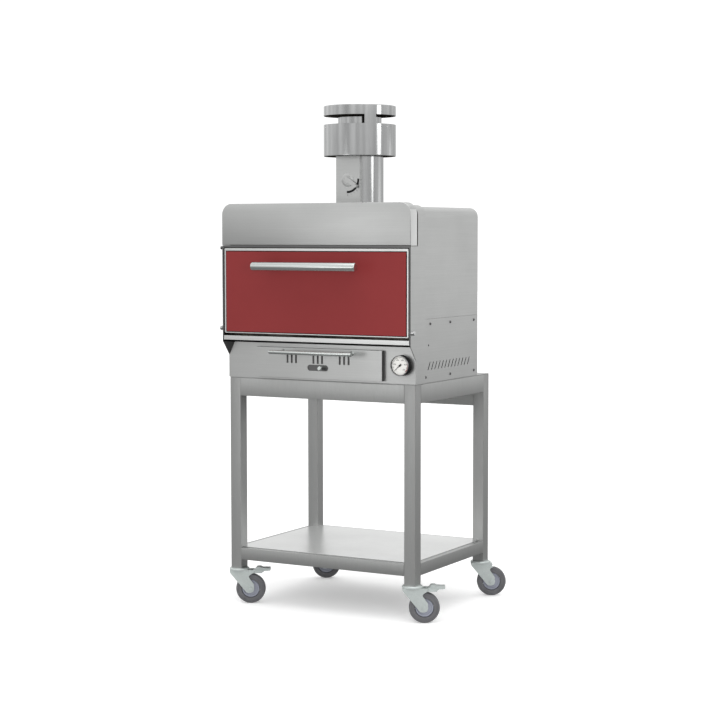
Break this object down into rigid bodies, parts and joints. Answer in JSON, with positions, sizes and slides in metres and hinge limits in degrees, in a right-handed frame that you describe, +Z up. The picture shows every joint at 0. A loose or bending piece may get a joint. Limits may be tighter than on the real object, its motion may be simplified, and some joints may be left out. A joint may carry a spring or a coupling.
{
  "type": "charcoal and wood fired oven on a wheeled stand",
  "caption": "Closed charcoal and wood fired oven with a drop-down door, ash drawer with air slide, dial thermometer and damped flue, on a wheeled table stand with a lower shelf.",
  "frame": {"origin": "middle of the object's bounding box on the floor", "axes": "+X to the object's right as seen from its front, +Y to its back, +Z up"},
  "size_m": [0.7977, 0.7051, 1.676],
  "materials": {
    "brushed_steel": "brushed",
    "stand_steel": "satin brushed",
    "shelf_steel": "bright satin",
    "red_enamel": "matt",
    "cast_iron": "rough",
    "damper_steel": "dark satin",
    "zinc_plate": "zinc plated",
    "grey_rubber": "matt",
    "mineral_wool": "fibrous",
    "dial_white": "matt",
    "black_paint": "matt",
    "dial_glass": "clear"
  },
  "bodies": {
    "oven_and_stand": {"apron_front": "stand_steel", "apron_left": "stand_steel", "apron_rear": "stand_steel", "apron_right": "stand_steel", "base_tray": "brushed_steel", "cap_drum": "brushed_steel", "cap_spigot": "brushed_steel", "caster_head_front_left": "zinc_plate", "caster_head_front_right": "zinc_plate", "caster_head_rear_left": "zinc_plate", "caster_head_rear_right": "zinc_plate", "charcoal_grate": "cast_iron", "damper_housing": "brushed_steel", "firebox_liner": "brushed_steel", "flue_pipe": "brushed_steel", "front_frame": "brushed_steel", "header_cap": "brushed_steel", "hinge_pin_left": "brushed_steel", "hinge_pin_right": "brushed_steel", "insulation": "mineral_wool", "jacket": "brushed_steel", "leg_front_left": "stand_steel", "leg_front_right": "stand_steel", "leg_rear_left": "stand_steel", "leg_rear_right": "stand_steel", "lower_fascia": "brushed_steel", "rear_panel": "brushed_steel", "service_panel_left": "brushed_steel", "service_panel_right": "brushed_steel", "shelf_rail_front": "stand_steel", "shelf_rail_left": "stand_steel", "shelf_rail_rear": "stand_steel", "shelf_rail_right": "stand_steel", "shelf_sheet": "shelf_steel", "sill": "brushed_steel", "table_top": "stand_steel", "thermometer_case": "brushed_steel", "thermometer_dial": "dial_white", "thermometer_glass": "dial_glass"},
    "door": {"door_shell": "brushed_steel", "door_liner": "brushed_steel", "door_panel": "red_enamel", "door_handle": "brushed_steel"},
    "ash_drawer": {"ash_drawer": "brushed_steel", "drawer_front": "brushed_steel"},
    "air_slide": {"air_slide": "brushed_steel"},
    "damper": {"damper_disc": "damper_steel", "damper_lever": "damper_steel"},
    "needle": {"thermometer_needle": "black_paint"},
    "cooking_rack": {"cooking_rack": "brushed_steel"},
    "caster_front_left": {"caster_fork_front_left": "zinc_plate"},
    "wheel_front_left": {"caster_wheel_front_left": "grey_rubber"},
    "caster_front_right": {"caster_fork_front_right": "zinc_plate"},
    "wheel_front_right": {"caster_wheel_front_right": "grey_rubber"},
    "caster_rear_left": {"caster_fork_rear_left": "zinc_plate"},
    "wheel_rear_left": {"caster_wheel_rear_left": "grey_rubber"},
    "caster_rear_right": {"caster_fork_rear_right": "zinc_plate"},
    "wheel_rear_right": {"caster_wheel_rear_right": "grey_rubber"},
    "brake_pedal_front_left": {"brake_pedal_front_left": "zinc_plate"},
    "brake_pedal_front_right": {"brake_pedal_front_right": "zinc_plate"}
  },
  "joints": [
    {"name": "door_hinge", "type": "hinge", "parent": "oven_and_stand", "child": "door", "pos_m": [-0.03292, -0.26551, 0.9355], "axis": [1, 0, 0], "range_deg": [0, 90]},
    {"name": "ash_drawer_slide", "type": "slide", "parent": "oven_and_stand", "child": "ash_drawer", "axis": [0, -1, 0], "range_m": [0, 0.15]},
    {"name": "air_slide", "type": "slide", "parent": "ash_drawer", "child": "air_slide", "axis": [1, 0, 0], "range_m": [-0.047, 0.013]},
    {"name": "cooking_rack_slide", "type": "slide", "parent": "oven_and_stand", "child": "cooking_rack", "axis": [0, -1, 0], "range_m": [0, 0.035]},
    {"name": "damper_pivot", "type": "hinge", "parent": "oven_and_stand", "child": "damper", "pos_m": [-0.03292, 0.03549, 1.4275], "axis": [0, -1, 0], "range_deg": [-60, 30]},
    {"name": "needle_spindle", "type": "hinge", "parent": "oven_and_stand", "child": "needle", "pos_m": [0.27138, -0.25251, 0.8305], "axis": [0, 1, 0], "range_deg": [0, 264]},
    {"name": "swivel_front_left", "type": "hinge", "parent": "oven_and_stand", "child": "caster_front_left", "pos_m": [-0.36292, -0.21251, 0.11], "axis": [0, 0, 1], "continuous": true},
    {"name": "axle_front_left", "type": "hinge", "parent": "caster_front_left", "child": "wheel_front_left", "pos_m": [-0.32924, -0.19385, 0.05], "axis": [-0.4848, 0.8746, 0], "continuous": true},
    {"name": "brake_front_left", "type": "hinge", "parent": "caster_front_left", "child": "brake_pedal_front_left", "pos_m": [-0.31875, -0.18803, 0.1085], "axis": [-0.4848, 0.8746, 0], "range_deg": [0, 8]},
    {"name": "swivel_front_right", "type": "hinge", "parent": "oven_and_stand", "child": "caster_front_right", "pos_m": [0.29708, -0.21251, 0.11], "axis": [0, 0, 1], "continuous": true},
    {"name": "axle_front_right", "type": "hinge", "parent": "caster_front_right", "child": "wheel_front_right", "pos_m": [0.33076, -0.19385, 0.05], "axis": [-0.4848, 0.8746, 0], "continuous": true},
    {"name": "brake_front_right", "type": "hinge", "parent": "caster_front_right", "child": "brake_pedal_front_right", "pos_m": [0.34125, -0.18803, 0.1085], "axis": [-0.4848, 0.8746, 0], "range_deg": [0, 8]},
    {"name": "swivel_rear_left", "type": "hinge", "parent": "oven_and_stand", "child": "caster_rear_left", "pos_m": [-0.36292, 0.29749, 0.11], "axis": [0, 0, 1], "continuous": true},
    {"name": "axle_rear_left", "type": "hinge", "parent": "caster_rear_left", "child": "wheel_rear_left", "pos_m": [-0.32924, 0.31615, 0.05], "axis": [-0.4848, 0.8746, 0], "continuous": true},
    {"name": "swivel_rear_right", "type": "hinge", "parent": "oven_and_stand", "child": "caster_rear_right", "pos_m": [0.29708, 0.29749, 0.11], "axis": [0, 0, 1], "continuous": true},
    {"name": "axle_rear_right", "type": "hinge", "parent": "caster_rear_right", "child": "wheel_rear_right", "pos_m": [0.33076, 0.31615, 0.05], "axis": [-0.4848, 0.8746, 0], "continuous": true}
  ]
}
